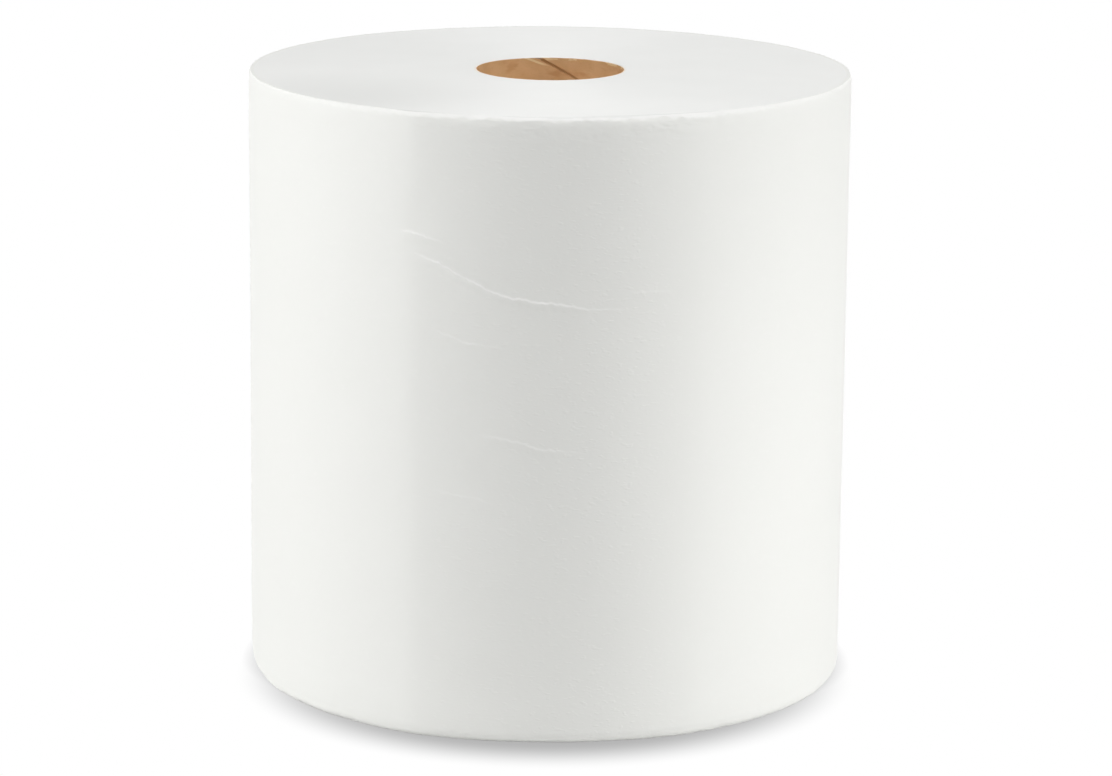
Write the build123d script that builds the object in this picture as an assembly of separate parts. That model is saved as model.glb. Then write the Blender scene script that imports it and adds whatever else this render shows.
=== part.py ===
from build123d import *

import math
import os

# Hard-wound paper towel roll on a spiral-wound board core. Sizes are in millimetres.
# The roll stands on one end: +Z runs up the core, the origin is the centre of the base
# and -Y is the front. The free end of the paper is at the back.

# Wound paper
roll_height = 203.2  # width of the paper, sawn off the log together with the core
roll_diameter = 200.0  # across the turn under the loose last one
last_turn_step = 0.3  # how far the last turn stands off the one below at its free end
tail_direction = 112.0  # degrees round from +X to the free end of the paper
rim_radius = 5.5  # rounding of the slumped outer turns at both ends
rim_sweep = 45.0  # degrees that the rounding turns from the wall before it meets the end face

# Winding lines on the two end faces
line_pitch = 12.0  # the spiral grows by this much in a turn
line_width = 0.9
line_depth = 0.3
line_start = 3.0  # paper left plain round the core
line_stop = 1.5  # paper left plain inside the rounded rim

# Board core
core_bore = 48.9
core_wall = 0.9  # two plies glued together
ply_thickness = 0.45
ply_width = 72.0  # width of the strip that the inner ply is wound from
seam_gap = 0.9  # open joint between neighbouring turns of the inner ply
seam_direction = 99.5  # degrees round from +X to where the joint meets the top edge

# Cutters pass this far beyond the face that they open.
cutter_overrun = 0.5

roll_radius = roll_diameter / 2
core_radius = core_bore / 2 + core_wall
rim_run = rim_radius * (1 - math.cos(math.radians(rim_sweep)))
rim_drop = rim_radius * math.sin(math.radians(rim_sweep))


def cylinder(radius, bottom, top):
    return Cylinder(
        radius,
        top - bottom,
        align=(Align.CENTER, Align.CENTER, Align.MIN),
    ).moved(Location((0, 0, bottom)))


def half_turn(section, centre_x, index):
    # Even half turns sweep the +Y side and odd ones the -Y side, both anticlockwise.
    start = 180.0 * (index % 2)
    turned = Rot(0, 0, start) * section
    swept = revolve(turned, Axis.Z, 180.0)
    return swept.moved(Location((centre_x, 0, 0)))


def roll_section(radius):
    # Half of the roll's section. The rim runs smoothly out of the wall and meets the flat
    # end face at a faint corner.
    flat = radius - rim_run
    centre = radius - rim_radius
    wall_top = roll_height - rim_drop
    outline = Wire(
        [
            Line((0, 0), (flat, 0)),
            CenterArc((centre, rim_drop), rim_radius, -rim_sweep, rim_sweep),
            Line((radius, rim_drop), (radius, wall_top)),
            CenterArc((centre, wall_top), rim_radius, 0, rim_sweep),
            Line((flat, roll_height), (0, roll_height)),
            Line((0, roll_height), (0, 0)),
        ]
    )
    return Plane.XZ * Face(outline)


def wound_body():
    # Two half turns about centres a quarter step either side of the axis make the spiral
    # of the last turn, and leave one full step at the free end of the paper.
    inner_half = half_turn(roll_section(roll_radius), -last_turn_step / 4, 0)
    outer_radius = roll_radius + last_turn_step / 2
    outer_half = half_turn(roll_section(outer_radius), last_turn_step / 4, 1)
    return inner_half + outer_half


def line_section(radius, face_z, outward):
    # V-shaped score in an end face. outward is +1 on the top face and -1 on the base.
    mouth = (line_width / 2) * (1 + cutter_overrun / line_depth)
    above = face_z + outward * cutter_overrun
    bottom = face_z - outward * line_depth
    return Plane.XZ * Face(
        Polyline(
            (radius, bottom),
            (radius + mouth, above),
            (radius - mouth, above),
            close=True,
        )
    )


def winding_lines(face_z, outward):
    # One continuous spiral of half turns, from near the core to near the rim.
    first = core_radius + line_start + line_pitch / 4
    last = roll_radius - rim_run - line_stop - line_pitch / 4
    count = int((last - first) / (line_pitch / 2)) + 1
    cutters = []
    for index in range(count):
        radius = first + index * line_pitch / 2
        centre_x = line_pitch / 4 * (-1 if index % 2 == 0 else 1)
        section = line_section(radius, face_z, outward)
        cutters.append(half_turn(section, centre_x, index))
    return cutters


def paper_roll():
    body = wound_body()
    body = body - cylinder(core_radius, -cutter_overrun, roll_height + cutter_overrun)
    body = body - (winding_lines(roll_height, 1) + winding_lines(0.0, -1))
    return Rot(0, 0, tail_direction) * body


def ply_seam():
    # The inner ply is a strip wound at an angle, so its edges meet in a helix.
    bore_turn = math.pi * core_bore
    seam_angle = math.acos(ply_width / bore_turn)  # from the core's axis
    seam_lead = bore_turn / math.tan(seam_angle)
    overrun = seam_gap * 2
    length = roll_height + 2 * overrun
    helix = Helix(
        pitch=seam_lead,
        height=length,
        radius=core_bore / 2,
        center=(0, 0, -overrun),
    )
    across = Plane(origin=helix @ 0, x_dir=(1, 0, 0), z_dir=helix % 0)
    slot = across * Rectangle(2 * ply_thickness, seam_gap)
    groove = sweep(slot, path=helix, is_frenet=True)
    turned_at_top = 360.0 * (roll_height + overrun) / seam_lead
    return Rot(0, 0, seam_direction - turned_at_top) * groove


def board_core():
    outside = cylinder(core_radius, 0, roll_height)
    bore = cylinder(core_bore / 2, -cutter_overrun, roll_height + cutter_overrun)
    # The tube is turned with the paper, so that both round faces start at the same place.
    tube = Rot(0, 0, tail_direction) * (outside - bore)
    return tube - ply_seam()


os.makedirs("parts", exist_ok=True)
export_step(paper_roll(), "parts/paper_roll.step")
export_step(board_core(), "parts/board_core.step")
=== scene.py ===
import math

import bmesh
import bpy
from mathutils import Matrix, Vector, noise


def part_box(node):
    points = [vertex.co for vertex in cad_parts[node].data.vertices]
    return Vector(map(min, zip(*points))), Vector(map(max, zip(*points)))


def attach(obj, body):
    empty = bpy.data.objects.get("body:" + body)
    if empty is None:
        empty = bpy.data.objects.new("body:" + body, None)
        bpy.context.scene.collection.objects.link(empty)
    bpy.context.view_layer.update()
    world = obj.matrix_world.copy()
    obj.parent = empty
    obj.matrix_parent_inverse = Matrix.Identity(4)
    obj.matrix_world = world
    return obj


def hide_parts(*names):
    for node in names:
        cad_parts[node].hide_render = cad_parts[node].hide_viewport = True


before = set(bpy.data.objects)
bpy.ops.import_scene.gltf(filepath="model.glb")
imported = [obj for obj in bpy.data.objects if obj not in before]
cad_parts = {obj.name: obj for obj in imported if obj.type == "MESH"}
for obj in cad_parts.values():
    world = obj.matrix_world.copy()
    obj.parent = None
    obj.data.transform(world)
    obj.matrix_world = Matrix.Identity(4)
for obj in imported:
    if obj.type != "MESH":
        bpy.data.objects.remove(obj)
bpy.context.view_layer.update()  # metres, +Z up the core, -Y is the front
mm = 0.001
hair = 0.01 * mm  # two places closer than this are the same
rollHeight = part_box("paper_roll")[1].z
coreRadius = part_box("board_core")[1].x


class Wire:
    # One value in a material. Sums and products of wires add Math nodes.
    def __init__(self, finish, socket):
        self.finish = finish
        self.socket = socket

    def out(self, name):
        return Wire(self.finish, self.socket.node.outputs[name])

    def __add__(self, other):
        return self.finish.maths("ADD", self, other)

    def __sub__(self, other):
        return self.finish.maths("SUBTRACT", self, other)

    def __rsub__(self, other):
        return self.finish.maths("SUBTRACT", other, self)

    def __mul__(self, other):
        return self.finish.maths("MULTIPLY", self, other)

    def __truediv__(self, other):
        return self.finish.maths("DIVIDE", self, other)

    __radd__ = __add__
    __rmul__ = __mul__


class Finish:
    # The nodes of one material, or of the room.
    def __init__(self, owner):
        self.owner = owner
        owner.use_nodes = True
        self.tree = owner.node_tree
        self.tree.nodes.clear()

    def add(self, kind, settings=None, inputs=None, output=0):
        node = self.tree.nodes.new(kind)
        for name, value in (settings or {}).items():
            setattr(node, name, value)
        for name, value in (inputs or {}).items():
            if isinstance(value, Wire):
                self.tree.links.new(value.socket, node.inputs[name])
            else:
                node.inputs[name].default_value = value
        return Wire(self, node.outputs[output]) if len(node.outputs) else None

    def maths(self, operation, *values):
        return self.add("ShaderNodeMath", {"operation": operation}, dict(enumerate(values)))

    def length(self, x, y):
        return self.maths("SQRT", x * x + y * y)

    def between(self, value, low, high):
        # 0 at low and 1 at high, with soft ends
        soft = {"interpolation_type": "SMOOTHSTEP"}
        return self.add("ShaderNodeMapRange", soft, {"Value": value, "From Min": low, "From Max": high})

    def blend(self, factor, first, second):
        inputs = {0: factor, 6: first, 7: second}
        return self.add("ShaderNodeMix", {"data_type": "RGBA"}, inputs, output=2)

    def place(self, scale):
        # The piece's own coordinates, in features to the millimetre for each direction
        where = self.add("ShaderNodeTexCoord", output="Object")
        inputs = {"Vector": where, "Scale": tuple(size / mm for size in scale)}
        return self.add("ShaderNodeMapping", None, inputs)

    def noise(self, scale, detail=2.0, roughness=0.5):
        inputs = {"Vector": self.place(scale), "Scale": 1.0, "Detail": detail, "Roughness": roughness}
        return self.add("ShaderNodeTexNoise", None, inputs)

    def axes(self):
        where = self.add("ShaderNodeTexCoord", output="Object")
        x = self.add("ShaderNodeSeparateXYZ", None, {"Vector": where})
        return x, x.out("Y"), x.out("Z")

    def attribute(self, name):
        return self.add("ShaderNodeAttribute", {"attribute_name": name}, output="Fac")

    def relief(self, height, distance, normal=None):
        inputs = {"Height": height, "Distance": distance}
        if normal:
            inputs["Normal"] = normal
        return self.add("ShaderNodeBump", None, inputs)

    def surface(self, inputs):
        shader = self.add("ShaderNodeBsdfPrincipled", None, inputs)
        self.add("ShaderNodeOutputMaterial", None, {"Surface": shader})
        return self.owner


def startCylinder(name, **sizes):
    # A plain drum or tube at its place, left in edit mode
    bpy.ops.object.select_all(action="DESELECT")
    bpy.ops.mesh.primitive_cylinder_add(**sizes)
    piece = bpy.context.object
    piece.name = name
    piece.data.name = name
    bpy.ops.object.transform_apply(location=True, rotation=True, scale=True)
    bpy.ops.object.mode_set(mode="EDIT")
    return piece


def choose(piece, kind, test):
    # Selects the faces or edges that pass a test, in edit mode
    bpy.ops.mesh.select_mode(type=kind)
    bpy.ops.mesh.select_all(action="DESELECT")
    mesh = bmesh.from_edit_mesh(piece.data)
    for item in mesh.faces if kind == "FACE" else mesh.edges:
        if test(item):
            item.select_set(True)
    bmesh.update_edit_mesh(piece.data)


def cutRows(heights):
    # Level cuts all round the piece
    for height in heights:
        bpy.ops.mesh.select_all(action="SELECT")
        bpy.ops.mesh.bisect(plane_co=(0, 0, height), plane_no=(0, 0, 1))


def moveVertices(piece, rule):
    for vertex in piece.data.vertices:
        vertex.co = rule(vertex.co)
    piece.data.update()


def polar(point):
    return math.hypot(point.x, point.y), math.atan2(point.y, point.x)


def polarUnit(point):
    # Distance from the axis, and the direction as x and y
    reach = math.hypot(point.x, point.y)
    return reach, point.x / reach, point.y / reach


def bump(value, width):
    return math.exp(-((value / width) ** 2))


def unevenness(*place):
    return noise.noise(Vector(place))  # from -1 to 1


def sideways(x, y):
    return math.degrees(math.atan2(x, -y))  # degrees to the right of the front


def turnBetween(side, angle):
    return (side - angle + 180) % 360 - 180


# The wound paper

roll = {
    "radius": 100.0 * mm,  # of the turn under the loose last one
    "step": 0.3 * mm,  # at the free end of the paper
    "stepRun": 0.08,  # degrees that the step is spread over
    "tailAngle": 112.0,  # degrees round from +X
    "rimRadius": 5.5 * mm,
    "rimSweep": 45.0,
    "rimRows": 9,
    "columns": 300,
    "row": 4.2 * mm,
    "fineRow": 1.6 * mm,  # by the creases and the lip
    "lip": 9.0 * mm,  # depth of the uneven part of the wall below the rim
    "lipSide": 48,  # degrees to either side of the front that it is cut finely
    "lipCuts": 3,
    "endRings": (0.35 * mm, 0.35 * mm, 0.35 * mm, 0.6 * mm, 1.0 * mm),  # then even ones
    "evenRings": 24,
    "wallMargin": 0.2 * mm,  # the fine stretches take in the first of the rings
    "faceMargin": 0.1 * mm,  # faces this far inside the flat end's radius have its finish
    "smooth": 32,  # degrees between faces that are shaded as one surface
}
rimRun = roll["rimRadius"] * (1 - math.cos(math.radians(roll["rimSweep"])))
rimDrop = roll["rimRadius"] * math.sin(math.radians(roll["rimSweep"]))
flatRadius = roll["radius"] - rimRun

slack = {
    "broad": 0.16 * mm,  # long waves in the outer turns
    "middle": 0.04 * mm,
    "sunk": 1.2,  # how far the wall lies back, in broad waves
    "fold": 1.6 * mm,  # depth of the folded-in edge of the outer turn
    "foldCurve": 1.3,
    "folded": 0.7,  # share of a bruised rim that is folded in
    "second": 0.32 * mm,  # a shallower fold that runs on below the first
    "secondDepth": 4.5 * mm,
    "lump": 0.5 * mm,  # bruises along the two rims
    "lumpMean": 0.5,
    "ledge": 0.09 * mm,  # level wrinkles below the rims
    "crumple": 0.09 * mm,
    "crumpleDepth": 2.2 * mm,  # closer to a rim they are twice as high
    "slump": 0.35 * mm,  # outermost turns set back from the cut end
    "slumpRun": 2.5 * mm,
    "slumpLike": 200 * mm,  # it follows the bruises at this height
    "rimHighlight": 1.5 * mm,  # depth of the pale painted highlight along the top rim
    "rimHighlightFront": 1.5,  # away from the front the highlight thins out this much faster than the bruises
}
bruising = {  # of the top rim
    "angle": 5,  # degrees right of the front where it is worst
    "spread": 38,
    "away": 0.35,  # share of it far from there
    "foot": 0.5,  # share of it along the bottom rim
    "tight": 0.83,  # share of the rounding that the top rim lacks where it isn't bruised
    "tightSpread": 45,
}
foot = {"angle": -80, "spread": 35, "depth": 0.7 * mm, "tall": 10 * mm}  # rounder base on the left
cut = {  # the two sawn ends
    "coarse": 0.14 * mm,
    "coarseRun": 8 * mm,
    "fine": 0.04 * mm,
    "fineRun": 1.4 * mm,
    "plain": 2 * mm,  # beside the core and the rim
    "follow": 8 * mm,  # the end moves with the wall as far in as this
    "gap": 0.45 * mm,  # depth of an opening beside the loose outer turns
    "gapInward": 0.7 * mm,
    "gapWidth": 0.4 * mm,
}
waves = {  # layers of unevenness: strength, fineness round the roll, seed and fineness up it
    "broad": [(1, 1.5, 0, 1 / (80 * mm))],
    "middle": [(1, 4, 0, 1 / (22 * mm))],
    "ledge": [(1, 7, 0, 1 / (1.8 * mm))],
    "crumple": [(1, 28, 0, 1 / (1.9 * mm))],
    "patch": [(1.3, 55, 0, 1 / mm)],
    "lump": [(0.4, 2.2, 3, 90), (0.4, 7, 5, 90), (0.3, 19, 9, 160)],
    "second": [(0.7, 9, 51, 0), (0.6, 26, 52, 0)],
    "fold": [(0.6, 5, 21, 0), (0.5, 15, 4, 0), (0.5, 40, 7, 0)],
    "bruised": [(1.3, 6, 33, 0)],
    "rimHighlight": [(0.6, 12, 61, 0), (0.7, 40, 62, 0)],
}

# Creases are pinched ridges in the outer turn. Their points are degrees to the right of the
# front and heights in millimetres.
creases = {
    "long": {
        "points": [
            (-25, 158.3), (-20.3, 155.7), (-15.5, 151.9), (-10.5, 147.3),
            (-5, 145.0), (1, 143.7), (7, 142.2), (16, 141.7),
        ],
        "height": 0.24 * mm,
    },
    "short": {"points": [(-27.3, 165.2), (-23.8, 164.2), (-18.8, 161.9)], "height": 0.28 * mm},
    "middle": {"points": [(-21, 134), (-17, 132), (-14, 130.3), (-7, 129)], "height": 0.12 * mm},
    "low": {
        "points": [(-11.8, 100.7), (-7.5, 99.9), (-4, 98.3), (-1, 96.9), (3, 96.2), (8, 95.4)],
        "height": 0.10 * mm,
    },
    "level": {"points": [(15, 147), (20, 147), (24, 146.8)], "height": 0.04 * mm},
    "faint": {"points": [(-20.5, 82), (-14, 80.4), (-8.6, 78.2)], "height": 0.05 * mm},
}
crease = {
    "above": 0.40 * mm,  # width of the sharp upper side
    "below": 1.8 * mm,  # and of the lower one
    "wander": 0.5 * mm,  # long bends of the line
    "wanderRun": 5 * mm,
    "kink": 0.35 * mm,  # and short ones
    "kinkRun": 1.7 * mm,
    "strength": 0.95,
    "patchy": 0.6,  # how much the strength varies along it
    "patchRun": 4 * mm,
    "ends": (0.1, 0.05),  # share of the strength at its two ends
    "fadeIn": 7,  # whole after about a seventh of its way
    "fadeOut": 3,  # and fades over about the last third
    "left": 1.7,  # it is stronger towards its left end
    "loss": 0.9,  # and loses this much on its way to the right
    "edge": 0.30 * mm,  # half the width of the pale painted highlight along the crease's upper side
    "full": 0.46 * mm,  # height of a crease whose line is wholly pale
    "far": 4 * mm,  # nothing of a crease shows beyond
    "reach": 2.4 * mm,  # the wall is cut finely this far from it
    "cuts": 7,
    "curve": 8,  # steps from one given point to the next
}
dents = [  # degrees right of the front, height, width, height and depth in millimetres
    (-24, 168, 5, 6, 0.3),
    (-31, 178, 8, 10, -0.08),
    (18, 118, 14, 26, 0.08),
]
ridges = [  # soft corners down the loose outer turns, in degrees right of the front and millimetres
    {"angle": -25, "left": 14, "right": 25, "soft": 3.5, "low": 1.1, "high": 1.5},
    {"angle": 28, "left": 25, "right": 15, "soft": 4.0, "low": 0.9, "high": 0.3},
    {"angle": 2, "left": 25, "right": 25, "soft": 10.0, "low": -0.6, "high": -0.5},
]
gaps = [(-26, 5), (18, 8)]  # degrees right of the front, and width
crumples = [  # degrees right of the front, depth below the top, width and height in millimetres
    (-3, 4.5, 5, 2.5),
    (8, 7.0, 4, 2.5),
    (22, 3.0, 12, 3.0),
    (-22, 3.5, 9, 2.0),
]


def wallPlace(x, y, z):
    # Metres along the wall to the right of the front, and height
    return Vector((math.atan2(x, -y) * roll["radius"], z))


def smoothRun(points):
    # Close points on a soft curve through the ones given
    points = [Vector((math.radians(angle) * roll["radius"], height * mm)) for angle, height in points]
    ends = [2 * points[0] - points[1], *points, 2 * points[-1] - points[-2]]
    run = []
    for a, b, c, d in zip(ends, ends[1:], ends[2:], ends[3:]):
        for i in range(crease["curve"]):
            t = i / crease["curve"]
            bend = (c - a) * t + (2 * a - 5 * b + 4 * c - d) * t * t + (3 * b - a - 3 * c + d) * t ** 3
            run.append(b + 0.5 * bend)
    return run + [points[-1]]


class Crease:
    def __init__(self, points, height):
        self.run = smoothRun(points)
        self.height = height
        self.left, self.right = self.run[0].x, self.run[-1].x
        self.low = min(p.y for p in self.run)
        self.high = max(p.y for p in self.run)

    def near(self, place, reach):
        across = self.left - reach < place.x < self.right + reach
        return across and self.low - reach < place.y < self.high + reach

    def nearest(self, place):
        # Distance, positive above the crease, and the share of the way along it
        best, share = None, 0.0
        for i, (a, b) in enumerate(zip(self.run, self.run[1:])):
            along = b - a
            t = max(0.0, min(1.0, (place - a).dot(along) / along.length_squared))
            gap = place - (a + along * t)
            if best is None or gap.length < abs(best):
                best = math.copysign(gap.length, along.x * gap.y - along.y * gap.x)
                share = (i + t) / (len(self.run) - 1)
        return best, share

    def line(self, place):
        # Distance from the wandering line, and how strong the crease is there
        gap, share = self.nearest(place)
        gap += crease["wander"] * unevenness(place.x / crease["wanderRun"], self.height / mm, 8.0)
        gap += crease["kink"] * unevenness(place.x / crease["kinkRun"], self.height / mm, 9.0)
        first, last = crease["ends"]
        fade = min(1.0, first + crease["fadeIn"] * share, last + crease["fadeOut"] * (1 - share))
        fade *= crease["left"] - crease["loss"] * share
        patches = unevenness(place.x / crease["patchRun"], place.y / crease["patchRun"], 3.0)
        return gap, fade * (crease["strength"] + crease["patchy"] * patches)

    def rise(self, place):
        if not self.near(place, crease["far"]):
            return 0.0
        gap, strength = self.line(place)
        width = crease["above"] if gap > 0 else crease["below"]
        return self.height * strength * bump(gap, width)

    # painted highlight: a pale line along the crease's upper side, which faces the top light
    def pale(self, place):
        if not self.near(place, crease["far"]):
            return 0.0
        gap, strength = self.line(place)
        whole = min(1.0, strength * self.height / crease["full"])
        return whole * bump(gap - crease["edge"], crease["edge"])


def rowHeights(folds):
    # Close rows round the rims, fine rows by the creases and the lip, and wide ones elsewhere
    rim = []
    for i in range(1, roll["rimRows"]):
        sweep = math.radians(roll["rimSweep"]) * i / roll["rimRows"]
        rim.append(rimDrop - roll["rimRadius"] * math.sin(sweep))
    heights = rim + [rollHeight - h for h in rim]
    height = rimDrop
    while height < rollHeight - rimDrop:
        heights.append(height)
        margin = crease["reach"]
        fine = any(f.low - margin < height < f.high + margin for f in folds)
        fine = fine or height > rollHeight - rimDrop - roll["lip"]
        height += roll["fineRow"] if fine else roll["row"]
    return sorted(heights) + [rollHeight - rimDrop]


def openingAndPaintedShade(reach, x, y):
    # 1 in the openings between the outer turns on the cut ends, which are sunk and painted with shade, and
    # 0 away from them
    side = sideways(x, y)
    patch = max(bump(turnBetween(side, angle), width) for angle, width in gaps)
    return patch * bump(flatRadius - reach - cut["gapInward"], cut["gapWidth"])


def ridgeRise(side, z):
    # How far the soft corners lift the loose outer turns
    rise = 0.0
    for ridge in ridges:
        across = math.radians(turnBetween(side, ridge["angle"])) * roll["radius"] / mm
        run = ridge["left"] if across < 0 else ridge["right"]
        height = ridge["low"] + (ridge["high"] - ridge["low"]) * z / rollHeight
        rise += height * mm * math.exp((ridge["soft"] - math.hypot(across, ridge["soft"])) / run)
    return rise


def layered(name, x, y, z=0.0):
    # The layers of unevenness of one name, added up
    return sum(s * unevenness(r * x, r * y, seed + drift * z) for s, r, seed, drift in waves[name])


def topWeight(x, y):
    # How bruised the top rim is
    worst = bump(sideways(x, y) - bruising["angle"], bruising["spread"])
    return bruising["away"] + (1 - bruising["away"]) * worst


def rimShare(x, y, z):
    # How much of the rim's rounding there is
    if z < rollHeight / 2:
        return 1.0
    worst = bump(sideways(x, y) - bruising["angle"], bruising["tightSpread"])
    return 1 - bruising["tight"] * (1 - worst)


def paintedRimHighlight(x, y, z):
    # A pale painted highlight along the sawn edge of the top rim, from 0 to 1
    depth = slack["rimHighlight"] * max(0.25, 1 + layered("rimHighlight", x, y))
    strength = 1 + slack["rimHighlightFront"] * (topWeight(x, y) - 1)
    return strength * max(0.0, min(1.0, 2 - 2 * (rollHeight - z) / depth))


def lumps(x, y, z):
    # Bruises along a rim, from 0 to about 1
    return max(0.0, slack["lumpMean"] + layered("lump", x, y, z))


def setBack(x, y):
    # How far the outermost turns are set back from the cut ends
    return slack["slump"] * topWeight(x, y) * lumps(x, y, slack["slumpLike"])


def rimWeight(x, y, z):
    # How bruised the nearer rim is
    return topWeight(x, y) if z > rollHeight / 2 else bruising["foot"]


def loosened(x, y, z, turn):
    # How far the outer turns stand out from the one below
    edge = min(z, rollHeight - z)
    side = sideways(x, y)
    weight = rimWeight(x, y, z)
    near = max(0.0, 1 - edge / (rimDrop + roll["lip"]))
    rise = roll["step"] * (turn / 360 - 0.25)  # the wall starts a quarter of the step inside its radius
    rise -= slack["lump"] * weight * near * near * lumps(x, y, z)
    depth = slack["secondDepth"] * max(0.3, 1 + layered("second", x, y))
    rise -= slack["second"] * weight * max(0.0, 1 - edge / depth)
    rise += slack["ledge"] * weight * near * layered("ledge", x, y, z)
    crumple = slack["crumple"] * weight * near * near * (1 + bump(edge, slack["crumpleDepth"]))
    rise += crumple * layered("crumple", x, y, z)
    for angle, down, width, tall in crumples:
        across = math.radians(side - angle) * roll["radius"]
        patch = bump(across, width * mm) * bump(rollHeight - z - down * mm, tall * mm)
        if patch > 0.01:
            rise += slack["crumple"] * patch * layered("patch", x, y, z)
    low = max(0.0, 1 - z / foot["tall"])
    rise -= foot["depth"] * bump(side - foot["angle"], foot["spread"]) * low * low
    rise += ridgeRise(side, z)
    rise += slack["broad"] * (layered("broad", x, y, z) - slack["sunk"])
    return rise + slack["middle"] * layered("middle", x, y, z)


def atHeight(x, y, z, radius, dip):
    # A point at this radius, sunk from the nearer end of the roll
    return Vector((radius * x, radius * y, z - dip if z > rollHeight / 2 else z + dip))


def endPoint(reach, x, y, z, turn):
    inward = flatRadius - reach
    outward = loosened(x, y, z, turn) + rimRun * (1 - rimShare(x, y, z))
    radius = reach + outward * max(0.0, 1 - inward / cut["follow"])
    coarse = unevenness(reach / cut["coarseRun"], 7 + 0.5 * x, 5 * z + 0.5 * y)
    fine = unevenness(reach / cut["fineRun"], 4.0, 20 * z)
    dip = cut["coarse"] * (0.5 + 0.5 * coarse) + cut["fine"] * (0.5 + 0.5 * fine)
    dip *= max(0.0, min(1.0, (reach - coreRadius) / cut["plain"], inward / cut["plain"]))
    dip += cut["gap"] * openingAndPaintedShade(reach, x, y)
    dip += setBack(x, y) * bump(inward, slack["slumpRun"])
    return atHeight(x, y, z, radius, dip)


def rimBack(x, y, z):
    # How far the wall stands back at a rim: rounded, or folded in flat where it is bruised
    edge = min(z, rollHeight - z)
    share = rimShare(x, y, z)
    if edge > rimDrop * share:
        return 0.0
    radius = roll["rimRadius"] * share
    rounded = radius * (1 - math.cos(math.asin((rimDrop * share - edge) / radius)))
    depth = slack["fold"] * max(0.4, 1 + layered("fold", x, y))
    folded = rimRun * share * max(0.0, 1 - edge / depth) ** slack["foldCurve"]
    bruised = rimWeight(x, y, z) * max(0.0, min(1.0, slack["folded"] + layered("bruised", x, y)))
    return rounded + bruised * (folded - rounded)


def wallPoint(x, y, z, turn, folds):
    radius = roll["radius"] + loosened(x, y, z, turn) - rimBack(x, y, z)
    place = wallPlace(x, y, z)
    for fold in folds:
        radius += fold.rise(place)
    for angle, height, width, tall, depth in dents:
        across = place.x - math.radians(angle) * roll["radius"]
        radius -= depth * mm * bump(across, width * mm) * bump(z - height * mm, tall * mm)
    dip = setBack(x, y) * max(0.0, 1 - min(z, rollHeight - z) / rimDrop)
    return atHeight(x, y, z, radius, dip)


def shapePaper(folds):
    # The rule that moves a vertex of the plain drum to its place on the wound paper
    besideTail = 1.5 * 360 / roll["columns"]

    def rule(point):
        reach, angle = polar(point)
        turn = (math.degrees(angle) - roll["tailAngle"]) % 360
        if turn < 0.01 or turn > 359.99:  # the column at the free end of the paper
            turn = 360.0
        elif turn < besideTail:  # the one past it stands close beside it
            turn = roll["stepRun"]
            angle = math.radians(roll["tailAngle"] + turn)
        x, y = math.cos(angle), math.sin(angle)
        if reach > flatRadius - hair:
            return wallPoint(x, y, point.z, turn, folds)
        return endPoint(reach, x, y, point.z, turn)

    return rule


towel = {  # patterns are in features to the millimetre, along x, y and z
    "colour": (0.862, 0.866, 0.838, 1),
    "fleck": (0.90, 0.90, 0.875, 1),
    "pale": (0.94, 0.94, 0.925, 1),  # painted highlight along the lit upper side of a crease and along the top rim
    "roughness": 0.55,
    "cloud": (0.02, 0.02, 0.03),
    "cloudy": 0.12,  # how much the roughness varies
    "gloss": 0.1,
    "crepe": (0.5, 0.5, 1.3),  # short level ridges
    "crepeDepth": 0.03 * mm,
    "pimple": (0.42, 0.42, 0.9),
    "pimpleShows": (0.56, 0.80),
    "pimpleDepth": 0.044 * mm,
    "flecked": 0.2,  # how pale a pimple is
    "coarseTo": (22, 50),  # millimetres to either side, where the crepe quietens
    "quiet": 0.85,
}


def towelFinish():
    finish = Finish(bpy.data.materials.new("towel_paper"))
    x = finish.axes()[0]
    # The crepe is coarsest on the loose stretch at the front and the back
    coarse = 1 - finish.between(finish.maths("ABSOLUTE", x) / mm, *towel["coarseTo"]) * towel["quiet"]
    crepe = finish.noise(towel["crepe"])
    pimple = finish.between(finish.noise(towel["pimple"], detail=1.0), *towel["pimpleShows"])
    cloud = finish.noise(towel["cloud"])
    tone = finish.blend(pimple * towel["flecked"], towel["colour"], towel["fleck"])
    # painted highlight along the upper sides of the creases and along the top rim
    tone = finish.blend(finish.attribute("paintedHighlight"), tone, towel["pale"])
    fine = finish.relief(crepe * coarse, towel["crepeDepth"])
    relief = finish.relief(pimple * coarse, towel["pimpleDepth"], normal=fine)
    rough = towel["roughness"] + (cloud - 0.5) * towel["cloudy"]
    inputs = {"Base Color": tone, "Roughness": rough, "Normal": relief}
    inputs["Specular IOR Level"] = towel["gloss"]
    return finish.surface(inputs)


cutEnd = {
    "colour": (0.884, 0.888, 0.870, 1),
    "shade": (0.850, 0.854, 0.836, 1),
    "paintedShade": (0.775, 0.779, 0.760, 1),  # painted shade: a darker patch near the rim at the front left of the cut end
    "openingAndPaintedShade": (0.42, 0.42, 0.40, 1),  # painted shade in the openings between the loose outer turns
    "paintedShadeAt": (-62 * mm, -64 * mm),
    "paintedShadeReach": 62 * mm,
    "cloud": (0.05, 0.05, 0.05),  # patterns are in features to the millimetre
    "fuzz": (1.1, 1.1, 1.1),
    "roughness": 0.5,
    "anisotropy": 0.7,  # gloss round the axis, from the cut edges of the turns
    "turn": 0.9 * mm,  # from one ring to the next
    "rings": 0.3,  # their height beside the fuzz's
    "wander": 3 * mm,
    "wanderPattern": (0.04, 0.04, 0.04),
    "depth": 0.02 * mm,
}


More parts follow.
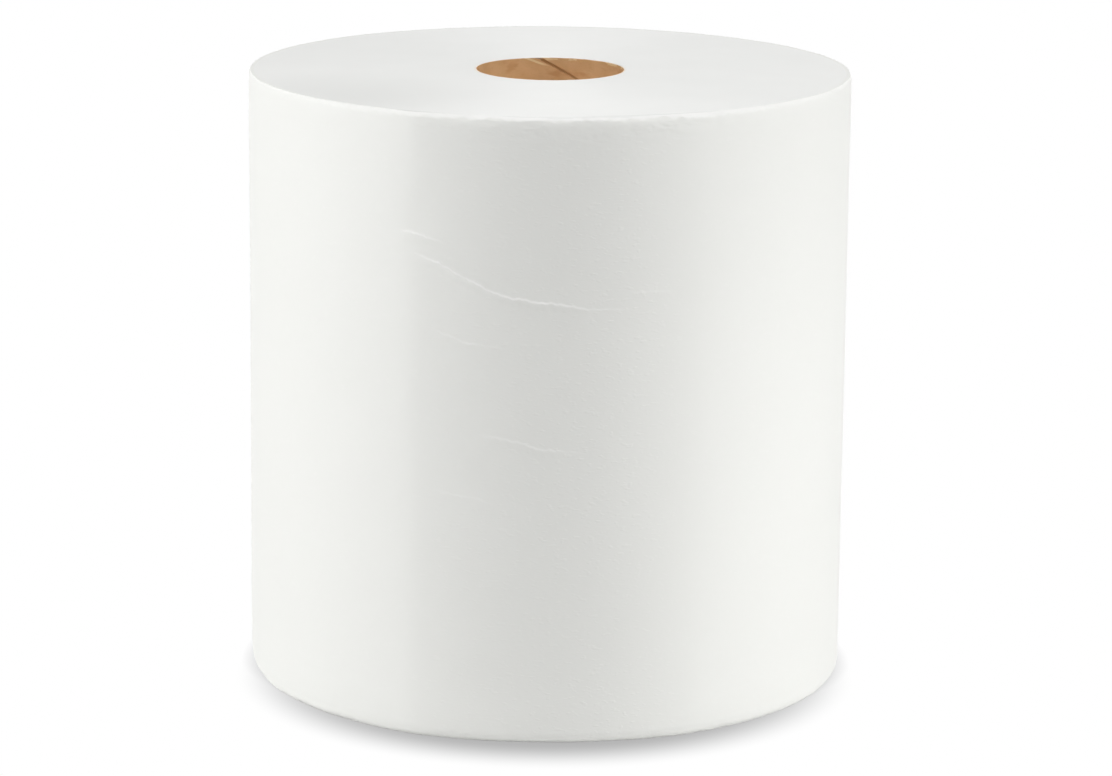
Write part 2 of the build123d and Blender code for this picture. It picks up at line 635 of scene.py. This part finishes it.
def cutEndFinish():
    finish = Finish(bpy.data.materials.new("cut_turns"))
    x, y = finish.axes()[:2]
    wander = finish.noise(cutEnd["wanderPattern"]) * cutEnd["wander"]
    rings = finish.maths("SINE", (finish.length(x, y) + wander) * (2 * math.pi / cutEnd["turn"]))
    fuzz = finish.noise(cutEnd["fuzz"], detail=3.0)
    tone = finish.blend(finish.noise(cutEnd["cloud"], detail=3.0), cutEnd["shade"], cutEnd["colour"])
    # painted shade: the front left of the cut end is darkened in its colour
    away = finish.length(x - cutEnd["paintedShadeAt"][0], y - cutEnd["paintedShadeAt"][1])
    paintedShade = 1 - finish.between(away, 0, cutEnd["paintedShadeReach"])
    tone = finish.blend(paintedShade, tone, cutEnd["paintedShade"])
    # painted shade in the openings beside the loose outer turns
    tone = finish.blend(finish.attribute("openingAndPaintedShade"), tone, cutEnd["openingAndPaintedShade"])
    relief = finish.relief(rings * cutEnd["rings"] + fuzz, cutEnd["depth"])
    inputs = {"Base Color": tone, "Roughness": cutEnd["roughness"], "Normal": relief}
    inputs["Anisotropic"] = cutEnd["anisotropy"]
    return finish.surface(inputs)


def makePaper():
    folds = [Crease(**settings) for settings in creases.values()]
    paper = startCylinder(
        "towel",
        vertices=roll["columns"],
        radius=roll["radius"],
        depth=rollHeight,
        end_fill_type="NGON",
        location=(0, 0, rollHeight / 2),
        rotation=(0, 0, math.radians(roll["tailAngle"] - 90)),
    )
    cutRows(rowHeights(folds))
    choose(paper, "FACE", lambda face: abs(face.normal.z) > 0.9)  # the two ends
    shrink = flatRadius / roll["radius"]
    bpy.ops.transform.resize(value=(shrink, shrink, 1))
    inner = flatRadius - sum(roll["endRings"]) - coreRadius
    rings = list(roll["endRings"]) + [inner / roll["evenRings"]] * roll["evenRings"]
    for thickness in rings:
        bpy.ops.mesh.inset(thickness=thickness, depth=0)
    bpy.ops.mesh.delete(type="FACE")
    choose(paper, "EDGE", lambda edge: edge.is_boundary)
    bpy.ops.mesh.bridge_edge_loops()
    print("paper: rows, rings and bore")

    def onWall(middle):
        return math.hypot(middle.x, middle.y) > flatRadius - roll["wallMargin"] and middle.y < 0

    def byCrease(face):
        middle = face.calc_center_median()
        if not onWall(middle):
            return False
        place = wallPlace(middle.x, middle.y, middle.z)
        reach = crease["reach"]
        return any(f.near(place, reach) and abs(f.nearest(place)[0]) < reach for f in folds)

    def onLip(face):
        middle = face.calc_center_median()
        high = middle.z > rollHeight - rimDrop - roll["lip"]
        return onWall(middle) and high and abs(sideways(middle.x, middle.y)) < roll["lipSide"]

    choose(paper, "FACE", byCrease)
    bpy.ops.mesh.subdivide(number_cuts=crease["cuts"])
    choose(paper, "FACE", onLip)
    bpy.ops.mesh.subdivide(number_cuts=roll["lipCuts"])
    bpy.ops.mesh.select_all(action="SELECT")
    bpy.ops.mesh.normals_make_consistent(inside=False)
    bpy.ops.object.mode_set(mode="OBJECT")
    # painted shade for the openings, and painted highlights for the creases and the top rim, kept on the
    # vertices
    paintedOpeningShade, paintedHighlight = [], []
    for vertex in paper.data.vertices:
        reach, x, y = polarUnit(vertex.co)
        paintedOpeningShade.append(openingAndPaintedShade(reach, x, y))
        outside = reach > flatRadius - hair
        lines = [fold.pale(wallPlace(x, y, vertex.co.z)) for fold in folds]
        paintedHighlight.append(max(paintedRimHighlight(x, y, vertex.co.z), *lines) if outside else 0.0)
    for name, values in (("openingAndPaintedShade", paintedOpeningShade), ("paintedHighlight", paintedHighlight)):
        paper.data.attributes.new(name, "FLOAT", "POINT").data.foreach_set("value", values)
    moveVertices(paper, shapePaper(folds))
    paper.data.materials.append(towelFinish())
    paper.data.materials.append(cutEndFinish())
    for face in paper.data.polygons:
        reach = math.hypot(face.center.x, face.center.y)
        face.material_index = 1 if reach < flatRadius - roll["faceMargin"] else 0
    bpy.ops.object.shade_smooth_by_angle(angle=math.radians(roll["smooth"]))
    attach(paper, "root")
    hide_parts("paper_roll")
    print("paper: done,", len(paper.data.polygons), "faces")


# The board core

core = {
    "bore": 24.45 * mm,
    "columns": 160,
    "row": 3.0 * mm,
    "fineRow": 1.0 * mm,  # near the two ends
    "fineDepth": 12.0 * mm,
    "seamColumns": 2,
    "seamDepth": 0.45 * mm,
    "seamTop": 99.5,  # degrees round from +X at the top edge
    "plyWidth": 72.0 * mm,
    "fray": 0.12 * mm,  # of the top edge
    "frayed": 9,  # how fine the fray is
    "smooth": 30,  # degrees between faces that are shaded as one surface
}
seamSlope = math.acos(core["plyWidth"] / (2 * math.pi * core["bore"]))  # from the core's axis
seamTwist = math.tan(seamSlope) / core["bore"]  # radians to the metre

board = {
    "colour": (0.78, 0.485, 0.237, 1),
    "pale": (0.84, 0.545, 0.28, 1),
    "dark": (0.55, 0.31, 0.135, 1),
    "rust": (0.69, 0.38, 0.172, 1),
    # paler torn fibres, painted brighter too with the highlight they catch from above
    "tornAndHighlight": (1.0, 0.78, 0.46, 1),
    "sawn": (0.87, 0.85, 0.81, 1),
    # painted shade in the seam's groove
    "groove": (0.50, 0.295, 0.135, 1),
    "roughness": 0.7,
    "depth": 0.05 * mm,
    # Patterns in features to the millimetre, the stretch of each that shows, and how strongly
    "ragged": {"pattern": (0.7, 0.7, 0.7)},
    "patches": {"pattern": (0.16, 0.16, 0.22), "shows": (0.3, 0.7)},
    "smudges": {"pattern": (0.12, 0.12, 0.3), "shows": (0.58, 0.70), "strength": 0.7},
    "fibres": {"pattern": (0.9, 0.9, 2.6), "shows": (0.5, 0.8), "strength": 0.35},
    "specks": {"pattern": (0.22, 0.22, 0.30), "size": (0.05, 0.11), "strength": 0.8},
    # Marks by the top edge and the seam: distances are in millimetres
    "seam": {"edge": (0.35, 0.60), "ragged": 0.5, "strength": 0.6},
    "tear": {"start": 2.0, "slope": 0.33, "edge": (0.25, 0.6), "ragged": 0.3, "fade": (1.9, 3.0)},
    "chip": {"near": (0.5, 0.7), "far": (1.5, 2.0), "ragged": 2, "fade": (0.5, 1.1), "strength": 0.8},
    "flecks": {"pattern": (0.22, 0.22, 0.8), "shows": (0.53, 0.56), "fade": (0.4, 1.0), "right": (-16, 6)},
    "top": {"edge": 0.3, "fade": (0.3, 0.6), "strength": 0.95},
}


def boardColours(finish, fibre, patches):
    # The board itself: pale patches, rusty smudges, dark fibres and specks
    tone = finish.blend(finish.between(patches, *board["patches"]["shows"]), board["colour"], board["pale"])
    smudges = board["smudges"]
    smudge = finish.between(finish.noise(smudges["pattern"]), *smudges["shows"])
    tone = finish.blend(smudge * smudges["strength"], tone, board["rust"])
    fibres = board["fibres"]
    tone = finish.blend(finish.between(fibre, *fibres["shows"]) * fibres["strength"], tone, board["dark"])
    specks = board["specks"]
    inputs = {"Vector": finish.place(specks["pattern"]), "Scale": 1.0}
    speck = 1 - finish.between(finish.add("ShaderNodeTexVoronoi", None, inputs), *specks["size"])
    return finish.blend(speck * specks["strength"], tone, board["dark"])


def boardFinish():
    finish = Finish(bpy.data.materials.new("core_board"))
    x, y, z = finish.axes()
    below = (rollHeight - z) / mm  # millimetres down from the top edge
    turned = finish.maths("ARCTAN2", y, x) - math.radians(core["seamTop"]) + below * (seamTwist * mm)
    wrapped = finish.maths("WRAP", turned, math.pi, -math.pi)
    across = wrapped * (core["bore"] * math.cos(seamSlope) / mm)  # millimetres from the seam
    ragged = finish.noise(board["ragged"]["pattern"], detail=4.0) - 0.5
    patches = finish.noise(board["patches"]["pattern"], detail=3.0)
    fibre = finish.noise(board["fibres"]["pattern"], detail=4.0, roughness=0.65)
    tone = boardColours(finish, fibre, patches)

    seam = board["seam"]
    # painted shade darkens the seam's groove, its lit lower side too
    groove = 1 - finish.between(finish.maths("ABSOLUTE", across + ragged * seam["ragged"]), *seam["edge"])
    tone = finish.blend(groove * seam["strength"], tone, board["groove"])

    # A torn edge runs from the top edge down into the seam, on its left. It, the chipped edge and the
    # flecks are paler board, painted brighter still with the highlight they catch from above
    tear = board["tear"]
    peel = tear["start"] - below * tear["slope"]
    offset = finish.maths("ABSOLUTE", across - peel + ragged * tear["ragged"])
    tornAndHighlight = (1 - finish.between(offset, *tear["edge"])) * (1 - finish.between(below, *tear["fade"]))
    tone = finish.blend(tornAndHighlight, tone, board["tornAndHighlight"])

    chip = board["chip"]
    beside = finish.between(0 - across, *chip["near"])
    beside = beside * (1 - finish.between(ragged * chip["ragged"] - across, *chip["far"]))
    chipped = beside * (1 - finish.between(below + ragged, *chip["fade"]))
    tone = finish.blend(chipped * chip["strength"], tone, board["tornAndHighlight"])

    flecks = board["flecks"]
    fleck = finish.between(finish.noise(flecks["pattern"], detail=3.0), *flecks["shows"])
    fleck = fleck * (1 - finish.between(below + ragged, *flecks["fade"]))
    tone = finish.blend(fleck * finish.between(x / mm, *flecks["right"]), tone, board["tornAndHighlight"])

    # The top edge is furred and pale
    top = board["top"]
    sawn = finish.between(finish.length(x, y), core["bore"], core["bore"] + top["edge"] * mm)
    sawn = sawn * (1 - finish.between(below, *top["fade"]))
    tone = finish.blend(sawn * top["strength"], tone, board["sawn"])
    relief = finish.relief(fibre + patches, board["depth"])
    return finish.surface({"Base Color": tone, "Roughness": board["roughness"], "Normal": relief})


def coreRows():
    heights = []
    height = 0.0
    while height < rollHeight - core["fineRow"]:
        edge = min(height, rollHeight - height)
        height += core["fineRow"] if edge < core["fineDepth"] else core["row"]
        heights.append(height)
    return heights


def makeCore():
    tube = startCylinder(
        "core",
        vertices=core["columns"],
        radius=coreRadius,
        depth=rollHeight,
        end_fill_type="NOTHING",
        location=(0, 0, rollHeight / 2),
    )
    cutRows(coreRows())
    bpy.ops.object.mode_set(mode="OBJECT")
    wall = tube.modifiers.new("wall", "SOLIDIFY")
    wall.thickness = coreRadius - core["bore"]
    wall.offset = -1
    bpy.ops.object.modifier_apply(modifier="wall")
    bpy.ops.object.mode_set(mode="EDIT")
    halfSeam = core["seamColumns"] * math.pi / core["columns"]

    def inSeam(face):
        reach, angle = polar(face.calc_center_median())
        inside = reach < (core["bore"] + coreRadius) / 2
        return inside and abs(face.normal.z) < 0.5 and abs(angle) < halfSeam

    choose(tube, "FACE", inSeam)
    bpy.ops.mesh.extrude_region_shrink_fatten(TRANSFORM_OT_shrink_fatten={"value": -core["seamDepth"]})
    bpy.ops.object.mode_set(mode="OBJECT")

    def wind(point):
        reach, angle = polar(point)
        angle += math.radians(core["seamTop"]) + (point.z - rollHeight) * seamTwist
        x, y = math.cos(angle), math.sin(angle)
        drop = 0.0
        if point.z > rollHeight - hair:
            drop = core["fray"] * (0.5 + 0.5 * unevenness(core["frayed"] * x, core["frayed"] * y, 1.0))
        return Vector((reach * x, reach * y, point.z - drop))

    moveVertices(tube, wind)
    tube.data.materials.append(boardFinish())
    bpy.ops.object.shade_smooth_by_angle(angle=math.radians(core["smooth"]))
    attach(tube, "root")
    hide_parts("board_core")
    print("core: done,", len(tube.data.polygons), "faces")


# The floor and the room

floor = {
    "size": 30.0,
    "colour": (0.8, 0.8, 0.8, 1),
    "ahead": 18.5,  # millimetres that the painted soft shadow lies in front of the roll's axis
    "squeeze": 1.034,  # it is a little narrower than deep
    "fade": (79.5, 108.3),  # whole inside the first radius and gone at the second, in millimetres
    "depth": 0.54,
    "contact": 5 * mm,  # reach of the close shadow all round the base
    "contactDepth": 0.35,
}


def seenDirectly(finish):
    # 1 for what the camera, gloss and glass see, 0 for light on its way to the object
    ray = finish.add("ShaderNodeLightPath")
    rays = ray + ray.out("Is Glossy Ray") + ray.out("Is Transmission Ray")
    return finish.maths("MINIMUM", rays, 1.0)


def makeFloor():
    bpy.ops.object.select_all(action="DESELECT")
    bpy.ops.mesh.primitive_plane_add(size=floor["size"], location=(0, 0, 0))
    plane = bpy.context.object
    plane.name = "floor"
    finish = Finish(bpy.data.materials.new("floor"))
    x, y = finish.axes()[:2]
    # a painted shadow: a soft disc on the floor a little in front of the roll, with a close shadow from
    # ambient occlusion all round the base
    away = finish.length(x * floor["squeeze"], y + floor["ahead"] * mm) / mm
    soft = (1 - finish.between(away, *floor["fade"])) * floor["depth"]
    reach = {"Distance": floor["contact"]}
    uncovered = finish.add("ShaderNodeAmbientOcclusion", {"samples": 16}, reach, output="AO")
    close = (1 - uncovered) * floor["contactDepth"]
    shadow = finish.maths("MAXIMUM", soft, close)
    glow = finish.add("ShaderNodeEmission", None, {"Strength": 1 - shadow})
    matt = finish.add("ShaderNodeBsdfDiffuse", None, {"Color": floor["colour"]})
    lit = finish.add("ShaderNodeMixShader", None, {0: seenDirectly(finish), 1: matt, 2: glow})
    clear = finish.add("ShaderNodeBsdfTransparent")
    behind = finish.add("ShaderNodeNewGeometry", output="Backfacing")
    whole = finish.add("ShaderNodeMixShader", None, {0: behind, 1: lit, 2: clear})
    finish.add("ShaderNodeOutputMaterial", None, {"Surface": whole})
    plane.data.materials.append(finish.owner)


lamps = {  # degrees right of the front and up, metres away, metres across, watts
    "left": {"azimuth": -80, "rise": 0, "away": 1.3, "width": 0.4, "height": 0.15, "watts": 6.5},
    "leftHigh": {"azimuth": -80, "rise": 32, "away": 1.3, "width": 0.4, "height": 0.4, "watts": 3.2},
    "right": {"azimuth": 80, "rise": 32, "away": 1.3, "width": 0.4, "height": 0.4, "watts": 3.35},
    "rightHigh": {"azimuth": 90, "rise": 60, "away": 1.3, "width": 0.4, "height": 0.4, "watts": 2.3},
    "rightLow": {"azimuth": 75, "rise": -5, "away": 0.6, "width": 0.25, "height": 0.12, "watts": 0.9},
    "rightFoot": {"azimuth": 42, "rise": -10, "away": 0.35, "width": 0.12, "height": 0.06, "watts": 0.06},
    "front": {"azimuth": -12, "rise": 40, "away": 1.3, "width": 0.4, "height": 0.4, "watts": 2.55},
    "top": {"azimuth": 0, "rise": 72.6, "away": 1.68, "width": 0.35, "height": 0.35, "watts": 8.8},
    "back": {"azimuth": 180, "rise": 3, "away": 1.3, "width": 1.2, "height": 0.2, "watts": 0.4},
    "backLeft": {"azimuth": -150, "rise": 60, "away": 1.3, "width": 0.4, "height": 0.4, "watts": 0.3},
    "backRight": {"azimuth": 150, "rise": 60, "away": 1.3, "width": 0.4, "height": 0.4, "watts": 0.4},
}
lampAim = Vector((0, 0, 0.1))
ambient = 0.1


def hangLamp(name, azimuth, rise, away, width, height, watts):
    # A lamp that faces the middle of the roll
    a, e = math.radians(azimuth), math.radians(rise)
    outward = Vector((math.sin(a) * math.cos(e), -math.cos(a) * math.cos(e), math.sin(e)))
    data = bpy.data.lights.new(name, "AREA")
    data.shape = "RECTANGLE"
    data.size, data.size_y = width, height
    data.energy = watts
    lamp = bpy.data.objects.new(name, data)
    lamp.location = lampAim + outward * away
    lamp.rotation_euler = outward.to_track_quat("Z", "Y").to_euler()
    lamp.visible_camera = False
    bpy.context.scene.collection.objects.link(lamp)


def lightRoom():
    for name, settings in lamps.items():
        hangLamp(name, **settings)
    room = bpy.data.worlds.new("room")
    finish = Finish(room)
    strength = seenDirectly(finish) * (1 - ambient) + ambient
    air = finish.add("ShaderNodeBackground", None, {"Color": (1, 1, 1, 1), "Strength": strength})
    finish.add("ShaderNodeOutputWorld", None, {"Surface": air})
    bpy.context.scene.world = room


camera = {
    "back": 1.4523,  # metres in front of the roll's axis
    "up": 0.42454,
    "pitch": 12.804,  # degrees down
    "yaw": -0.1164,
    "lean": 0.5574,
    "lens": 142.86,
}


def setCamera():
    data = bpy.data.cameras.new("camera")
    data.sensor_width = 36
    data.sensor_fit = "HORIZONTAL"
    data.lens = camera["lens"]
    data.clip_start, data.clip_end = 0.05, 60
    view = bpy.data.objects.new("camera", data)
    bpy.context.scene.collection.objects.link(view)
    where = Matrix.Translation((0, -camera["back"], camera["up"]))
    yaw = Matrix.Rotation(math.radians(camera["yaw"]), 4, "Z")
    pitch = Matrix.Rotation(math.radians(90 - camera["pitch"]), 4, "X")
    lean = Matrix.Rotation(math.radians(camera["lean"]), 4, "Z")
    view.matrix_world = where @ yaw @ pitch @ lean
    bpy.context.scene.camera = view


setCamera()
lightRoom()
makeFloor()
print("camera, lamps and floor: done")
makePaper()
makeCore()
bpy.context.scene.view_settings.view_transform = "Standard"
bpy.context.view_layer.update()
